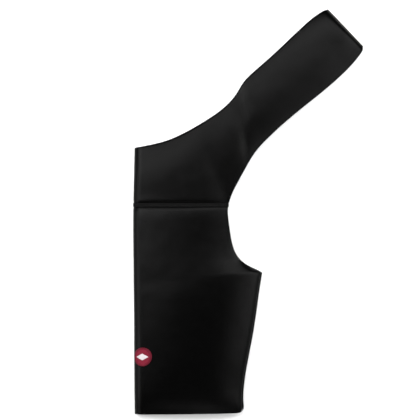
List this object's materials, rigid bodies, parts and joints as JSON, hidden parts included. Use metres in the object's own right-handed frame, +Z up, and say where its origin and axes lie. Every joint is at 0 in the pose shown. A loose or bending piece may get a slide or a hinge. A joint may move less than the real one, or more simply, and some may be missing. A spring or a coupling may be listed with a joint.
{
  "type": "shoulder support",
  "caption": "Pull-on shoulder support lying flat: a folded arm sleeve joined by a flat seam to a shoulder panel that runs on as a closed chest strap, with a small round badge.",
  "frame": {"origin": "middle of the outline seen from above, on the surface that the support lies on", "axes": "+Y from the sleeve's hem towards the neck, +X from the folded outer arm towards the chest strap, +Z up out of the front layer"},
  "size_m": [0.3108, 0.5464, 0.0256],
  "materials": {
    "neoprene": "black nylon jersey over foam rubber, matt with a faint sheen at grazing angles",
    "thread": "black flatlock stitching, soft sheen",
    "badge": "crimson woven badge with a stitched rim and a plain pale lozenge"
  },
  "bodies": {
    "root": {"sleeve": "neoprene", "yoke_strap": "neoprene", "yoke_seam": "thread", "arm_seam": "thread", "strap_seam": "thread", "badge": "badge"}
  },
  "joints": []
}
